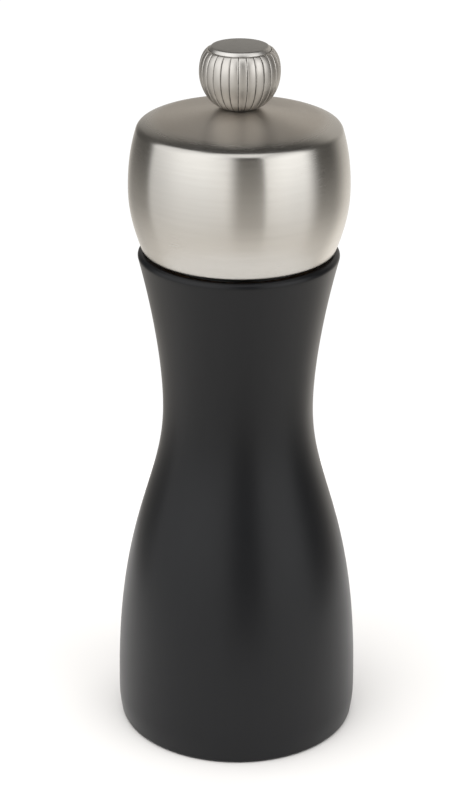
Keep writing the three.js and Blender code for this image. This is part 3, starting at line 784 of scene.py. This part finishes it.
def stop_clip():
    """An open-sided clip with two small pockets beside its mouth."""
    inner, mouth_width, pocket, pocket_circle = 2.6, 3.2, 0.9, 3.0
    corners = [
        (inner, CLIP_BOTTOM, 0.1),
        (CLIP_RADIUS, CLIP_BOTTOM, 0.15),
        (CLIP_RADIUS, CLIP_TOP, 0.15),
        (inner, CLIP_TOP, 0.1),
    ]
    disc = revolve("shaft_stop_clip_sprung", rounded(corners, 3), 96)
    low, high = CLIP_BOTTOM - 1, CLIP_TOP + 1
    mouth = prism("mouth", [(x, y + 4.5) for x, y in rectangle(mouth_width, 7)], low, high)
    turns = (-TAU / 24, TAU * 13 / 24)
    pockets = [placed(plug(pocket, low, high, 32), pocket_circle, turn) for turn in turns]
    return show(combine(disc, [mouth, *pockets]), "shaft_stop_clip", "shaft", "spring_steel", SPRING_WIRE)


# ---------------------------------------------------------------- base ring and screws

BASE_SCREW, BASE_SCREW_CIRCLE = {"head": 2.1, "head_height": 1.1, "shank": 1.2}, 17.1
PLATE_SCREW, PLATE_SCREW_CIRCLE = {"head": 2.2, "head_height": 0.9, "shank": 1.1}, 6.3
SCREW_GAP, SCREW_SLOT = 0.2, 0.6


def countersink(head, head_height, shank, bottom, thickness):
    """The shape that lets a screw's head lie flush in the underside of a plate."""
    gap = SCREW_GAP
    return revolve(
        "sink",
        [
            (0, bottom - 1),
            (head + gap, bottom - 1),
            (head + gap, bottom + 0.3),
            (shank + gap, bottom + head_height + gap),
            (shank + gap, bottom + thickness + 1),
            (0, bottom + thickness + 1),
        ],
        32,
    )


def wood_screw(name, bottom, length, head, head_height, shank):
    """A countersunk wood screw pointing up, with a crossed slot and a cut thread."""
    pitch, thread = shank * 0.9, shank * 0.28
    tip = bottom + length
    rows = np.arange(bottom + head_height + 0.8, tip - 0.3, pitch / 8)

    def core(z):
        return shank * min(1, 0.12 + (tip - z) / 3.2)

    outline = rounded(
        [
            (0, bottom),
            (head, bottom, 0.15),
            (head, bottom + 0.35, 0.1),
            (shank, bottom + head_height),
            *[(core(z), z) for z in rows],
            (0, tip),
        ]
    )

    def threaded(radius, height, angles):
        if height <= bottom + head_height + 0.01:
            return np.full(len(angles), radius)
        crest = np.clip(2.2 * wave(height / pitch - angles / TAU) - 1.2, 0, 1)
        return radius - thread * (1 - crest) * radius / shank

    screw = revolve(name, outline, 32, threaded)
    depth, reach = head_height * 0.6, head * 1.1
    arms = [rectangle(reach, SCREW_SLOT), rectangle(SCREW_SLOT, reach)]
    return combine(screw, [prism("slot", arm, bottom - 1, bottom + depth) for arm in arms])


def screws(kind, body, count, circle, sizes):
    """A set of screws, each in the place of its CAD node."""
    for i, turn in enumerate(around(count)):
        name = f"{kind}_{i + 1}"
        low, high, _ = span(name)
        screw = wood_screw(name + "_threaded", low, high - low, **sizes)
        show(placed(screw, circle, turn), name, body, "fasteners", PLATED)


def base_ring():
    """A flat ring with rounded edges and three sunk screws."""
    inner = 11.8
    corners = [
        (inner, RING_BOTTOM, 0.2),
        (RING_RADIUS, RING_BOTTOM, 0.3),
        (RING_RADIUS, RING_TOP, 0.15),
        (inner, RING_TOP, 0.15),
    ]
    ring = revolve("base_ring_pressed", rounded(corners, 4), 160)
    seat = {"bottom": RING_BOTTOM, "thickness": RING_TOP - RING_BOTTOM}
    sinks = [placed(countersink(**BASE_SCREW, **seat), BASE_SCREW_CIRCLE, turn) for turn in around(3)]
    show(combine(ring, sinks), "base_ring", "mill_body", "plated_steel", PLATED)
    screws("base_screw", "mill_body", 3, BASE_SCREW_CIRCLE, BASE_SCREW)


# ---------------------------------------------------------------- head

SHEET = 0.8
CAP_EDGE_RADIUS, CAP_EDGE_ROUNDING, CAP_EDGE_LEAN, CAP_EDGE_FULLNESS = 19.25, 0.8, 19.3, 3.6
CAP_BELLY_HEIGHT, CAP_BELLY_FULLNESS_BELOW, CAP_BELLY_FULLNESS_ABOVE = 120.8, 5.3, 6.2
SHOULDER_CENTRE, SHOULDER_ROUNDING, SHOULDER_LEAN, SHOULDER_FULLNESS = (18.87, 132.15), 2.11, 16.6, 1.8
CROWN_EDGE_SLOPE, CROWN_EDGE_FULLNESS = 28, 2.5
CROWN_SEAT_SLOPE, CROWN_SEAT_FULLNESS = 9.5, 9.0
KNOB_SEAT_RADIUS, CAP_HOLE_RADIUS = 4.1, 2.4


def head_cap():
    """One pressed shell: a rolled lower edge, a full side, a tight shoulder and a shallow crown."""

    def outline(inset, steps):
        edge_centre = (CAP_EDGE_RADIUS, CAP_BOTTOM + CAP_EDGE_ROUNDING)
        edge = arc(edge_centre, max(CAP_EDGE_ROUNDING - inset, 0.001), -90, -CAP_EDGE_LEAN, 6)
        start = edge[-1]
        shoulder = arc(SHOULDER_CENTRE, SHOULDER_ROUNDING - inset, SHOULDER_LEAN, 90 - CROWN_EDGE_SLOPE, 14)
        shoulder_handle = along(shoulder[0], -SHOULDER_LEAN, -SHOULDER_FULLNESS)
        seat = (KNOB_SEAT_RADIUS, CAP_TOP - inset)
        crown_start = along(shoulder[-1], CROWN_EDGE_SLOPE - 90, CROWN_EDGE_FULLNESS)
        crown_end = along(seat, CROWN_SEAT_SLOPE + 90, CROWN_SEAT_FULLNESS)
        belly = (CAP_RADIUS - inset, CAP_BELLY_HEIGHT)
        under_belly = along(belly, 0, -CAP_BELLY_FULLNESS_BELOW)
        over_belly = along(belly, 0, CAP_BELLY_FULLNESS_ABOVE)
        return [
            *(edge if inset < CAP_EDGE_ROUNDING else [start]),
            *bend(start, along(start, CAP_EDGE_LEAN, CAP_EDGE_FULLNESS), under_belly, belly, steps),
            *bend(belly, over_belly, shoulder_handle, shoulder[0], steps),
            *shoulder[1:],
            *bend(shoulder[-1], crown_start, crown_end, seat, 24),
        ]

    under_crown = CAP_TOP - SHEET
    hole = rounded(
        [
            (CAP_HOLE_RADIUS + 1, CAP_TOP),
            (CAP_HOLE_RADIUS, CAP_TOP, 0.25),
            (CAP_HOLE_RADIUS, under_crown, 0.25),
            (CAP_HOLE_RADIUS + 1, under_crown),
        ]
    )
    profile = [*outline(0, 26), *hole, *reversed(outline(SHEET, 14))]
    shell = revolve("head_cap_pressed", profile, 224)
    return show(shell, "head_cap", "head", "head_steel", HEAD_STEEL)


def head_core():
    """Turned wood under the cap, with the spigot below and a seat for the drive plate."""
    spigot, underside, bore, crown_slope = 15.25, 107.6, 3.3, 12.2
    seat_radius, seat_height = PLATE_RADIUS + 0.2, PLATE_TOP + 0.1
    crown_edge = CORE_TOP - (CORE_RADIUS - KNOB_SEAT_RADIUS) * math.tan(math.radians(crown_slope))

    outline = rounded(
        [
            (bore, seat_height, 0.2),
            (seat_radius, seat_height, 0.15),
            (seat_radius, CORE_BOTTOM, 0.25),
            (spigot, CORE_BOTTOM, 1.2),
            (spigot, underside, 0.4),
            (CORE_RADIUS, underside, 0.5),
            (CORE_RADIUS, crown_edge - 0.2, 1.8),
            (KNOB_SEAT_RADIUS, CORE_TOP, 0.4),
            (bore, CORE_TOP, 0.3),
        ],
        6,
    )
    core = revolve("head_core_turned", outline, 160)
    return show(core, "head_core", "head", "beech", BEECH)


def drive_plate():
    """A disc with a square hole for the shaft and two sunk screws."""
    corners = [
        (0, PLATE_BOTTOM),
        (PLATE_RADIUS, PLATE_BOTTOM, 0.2),
        (PLATE_RADIUS, PLATE_TOP, 0.2),
        (0, PLATE_TOP),
    ]
    disc = revolve("drive_plate_pressed", rounded(corners), 96)
    hole_plan = rectangle(SHAFT_HOLE_SIDE, SHAFT_HOLE_SIDE)
    hole = prism("square", hole_plan, PLATE_BOTTOM - 1, PLATE_TOP + 1, 0.4)
    seat = {"bottom": PLATE_BOTTOM, "thickness": PLATE_TOP - PLATE_BOTTOM}
    sinks = [placed(countersink(**PLATE_SCREW, **seat), PLATE_SCREW_CIRCLE, turn) for turn in around(2)]
    show(combine(disc, [hole, *sinks]), "drive_plate", "head", "plated_steel", PLATED)
    screws("plate_screw", "head", 2, PLATE_SCREW_CIRCLE, PLATE_SCREW)


# ---------------------------------------------------------------- knob

RIBS, CUT_DEPTH, CUT_WIDTH, RIB_CROWN = 28, 0.16, 0.08, 0.05
RIB_TURN = math.radians(-2.2)
RECESS_RADIUS, RECESS_FLOOR = 6.4, 148.2


def knob_body():
    """A pressed ball with narrow cuts between wide, slightly crowned ribs."""
    bore, bore_top = 2.15, SHAFT_TOP + 1
    foot, belly, shoulder = (3.6, KNOB_BOTTOM), (KNOB_RADIUS, 144.7), (6.75, KNOB_TOP - 0.06)
    foot_handle, shoulder_handle = (foot[0] + 3.2, foot[1] + 1.1), (shoulder[0] + 1.0, shoulder[1] - 1.0)
    under_belly, over_belly = along(belly, 0, -2.6), along(belly, 0, 1.9)
    outside = [
        foot,
        *bend(foot, foot_handle, under_belly, belly, 30),
        *bend(belly, over_belly, shoulder_handle, shoulder, 20),
    ]
    lip, lip_depth = DISC_RADIUS + 0.07, 0.3
    rim = [
        (6.6, KNOB_TOP),
        (lip, KNOB_TOP, 0.1),
        (lip, KNOB_TOP - lip_depth),
        (RECESS_RADIUS, RECESS_FLOOR),
        (0, RECESS_FLOOR),
    ]
    outline = rounded([(0, bore_top), (bore, bore_top), (bore, KNOB_BOTTOM), *outside, *rim], 3)

    def cut_share(radius, angles):
        """How deep in a cut a point lies, 0 on a rib and 1 at the bottom, and its place across the rib."""
        across = ((angles - RIB_TURN) * RIBS / TAU + 0.5) % 1 - 0.5
        distance = np.abs(across) * TAU * radius / RIBS
        return np.exp(-((distance / CUT_WIDTH) ** 2)), across

    def ribbed(radius, height, angles):
        if radius <= RECESS_RADIUS + 0.15 and (height > belly[1] or radius < foot[0] - 0.01):
            return np.full(len(angles), radius)
        share, across = cut_share(radius, angles)
        size = min(1, radius / KNOB_RADIUS)
        crown = RIB_CROWN * size * (1 - np.abs(2 * across)) ** 2
        return radius - CUT_DEPTH * size * share - crown

    knob = revolve("knob_body_fluted", outline, RIBS * 20, ribbed, sharp=50)
    cuts = knob.data.attributes.new("cut", "FLOAT", "POINT")
    places = np.array([v.co for v in knob.data.vertices]) / MM
    distance = np.hypot(places[:, 0], places[:, 1])
    share, _ = cut_share(distance + CUT_DEPTH / 2, np.arctan2(places[:, 1], places[:, 0]))
    # Painted shade: the recess and lip round the disc get 0.4 of a cut's darkening, for the shade in the gap
    # between the disc and the rim.
    share[(distance < RECESS_RADIUS + 0.1) & (places[:, 2] > belly[1])] = 0.4
    cuts.data.foreach_set("value", share)
    return show(knob, "knob_body", "knob", "knob_metal", KNOB_METAL)


def knob_cap():
    """The disc in the knob's top, slightly crowned inside a rounded bevel."""
    bevel_width, bevel_drop, crown = 0.45, 0.72, 0.04
    corners = [
        (0, DISC_BOTTOM),
        (DISC_RADIUS, DISC_BOTTOM, 0.1),
        (DISC_RADIUS, DISC_TOP - bevel_drop, 0.25),
        (DISC_RADIUS - bevel_width, DISC_TOP - crown, 0.6),
        (0, DISC_TOP),
    ]
    disc = revolve("knob_cap_disc", rounded(corners, 6), 128)
    return show(disc, "knob_cap", "knob", "knob_metal", DISC_METAL)


for make in (
    wood_body,
    mill_cage,
    stator_ring,
    rotor,
    shaft_bridge,
    bridge_rivets,
    thrust_washer,
    grind_spring,
    drive_shaft,
    stop_clip,
    base_ring,
    head_cap,
    head_core,
    drive_plate,
    knob_body,
    knob_cap,
):
    make()


# ---------------------------------------------------------------- floor, camera and light


def floor():
    """A plain pale round table top."""
    radius = 0.13
    rim = [(radius * math.cos(a), radius * math.sin(a), 0) for a in around(96)]
    mesh = mesh_of("floor", rim, [tuple(range(len(rim)))])
    made = bpy.data.objects.new("floor", mesh)
    bpy.context.scene.collection.objects.link(made)
    paint = Surface("pale_floor", (0.62, 0.61, 0.6), 0.9, Specular_IOR_Level=0.0)
    made.data.materials.append(paint.material)


def camera():
    """Looks at the mill from the front and a little above."""
    eye, pitch, roll = Vector((0, -0.448, 0.2698)), 23.66, 0.33
    data = bpy.data.cameras.new("camera")
    data.lens, data.sensor_width = 104.5, 36
    data.clip_start, data.clip_end = 0.05, 20
    made = bpy.data.objects.new("camera", data)
    tilt = Matrix.Rotation(math.radians(90 - pitch), 4, "X")
    made.matrix_world = Matrix.Translation(eye) @ tilt @ Matrix.Rotation(math.radians(roll), 4, "Z")
    bpy.context.scene.collection.objects.link(made)
    bpy.context.scene.camera = made


def panel(name, azimuth, elevation, distance, width, height, radiance, glossy=True):
    """A soft panel that faces the mill. Azimuth 0 is the camera's side, and 90 is to its right."""
    data = bpy.data.lights.new(name, "AREA")
    data.shape, data.size, data.size_y = "RECTANGLE", width, height
    data.energy = radiance * math.pi * width * height
    made = bpy.data.objects.new(name, data)
    a, e = math.radians(azimuth), math.radians(elevation)
    away = Vector((math.sin(a) * math.cos(e), -math.cos(a) * math.cos(e), math.sin(e)))
    made.location = Vector((0, 0, 0.1)) + away * distance
    made.rotation_mode = "QUATERNION"
    made.rotation_quaternion = away.to_track_quat("Z", "Y")
    made.visible_camera = False
    made.visible_glossy = glossy
    bpy.context.scene.collection.objects.link(made)


def surroundings():
    """Two tall softboxes at the sides, one high in front, and a dim room that is paler at the back.

    Azimuth 0 is the camera's side and 90 is to its right. The room is white where the camera sees it."""
    world = bpy.data.worlds.new("studio")
    bpy.context.scene.world = world
    sky = Nodes(world, "Background")
    x, y, z = sky.node("SeparateXYZ", sky.node("TexCoord").outputs["Generated"]).outputs
    azimuth = sky.math("DEGREES", sky.math("ARCTAN2", x, sky.math("MULTIPLY", y, -1.0)))
    elevation = sky.math("DEGREES", sky.math("ARCSINE", z))

    def step(value, start, end, amount=1.0):
        return sky.ranged(value, 0.0, amount, start, end, smooth=True)

    def total(*terms):
        value = terms[0]
        for term in terms[1:]:
            value = sky.math("ADD", value, term)
        return value

    def product(*terms):
        value = terms[0]
        for term in terms[1:]:
            value = sky.math("MULTIPLY", value, term)
        return value

    raised = sky.math("MAXIMUM", elevation, 0.0)
    left_edge = total(azimuth, product(raised, 0.28))
    right_edge = total(azimuth, product(raised, -0.15))
    left = total(
        step(left_edge, -109, -101, 1.15),
        step(azimuth, -100, -55, 0.43),
        step(azimuth, -40, -14, -0.33),
        step(azimuth, -16, 2, -1.25),
    )
    right = total(
        step(azimuth, 25.5, 27.5, 1.3),
        step(azimuth, 28, 54, 0.4),
        step(right_edge, 70, 93, -1.7),
    )
    left = product(left, step(elevation, 76, 64))
    right = product(right, step(elevation, 76, 64), total(0.62, step(elevation, 60, 25, 0.38)))
    below = total(0.07, step(elevation, -42, 14, 0.93))
    over = sky.math("DEGREES", sky.math("ARCTAN2", z, sky.math("MULTIPLY", y, -1.0)))
    aside = sky.math("DEGREES", sky.math("ARCSINE", sky.math("ABSOLUTE", x)))
    top = product(step(over, 47, 55), step(over, 98, 86), step(aside, 32, 16))
    panels = sky.math("MAXIMUM", product(total(left, right), below), product(top, 1.25))
    from_back = sky.math("DEGREES", sky.math("ARCTAN2", x, y))
    back = product(step(from_back, -38, 4), step(from_back, 68, 35), step(elevation, 50, 24, 0.5))
    facing = product(
        step(azimuth, -40, -10),
        step(azimuth, 60, 30),
        step(elevation, 25, 0, 0.25),
        step(elevation, -30, -10),
    )
    room = total(0.06, step(elevation, 60, 30, 0.06), back, facing, step(elevation, 0, -45, 0.85))
    shares = [total(panels, product(room, tint)) for tint in (1.03, 0.98, 0.91)]
    light = sky.node("CombineColor", *shares).outputs[0]
    seen = sky.node("LightPath").outputs["Is Camera Ray"]
    sky.feed(sky.shader.inputs["Color"], sky.mixed(seen, light, (1.05, 1.05, 1.05)))


floor()
camera()
surroundings()
panel("overhead", 0, 90, 1.8, 2.4, 2.4, 3.6, glossy=False)
bpy.context.scene.view_settings.view_transform = "Standard"
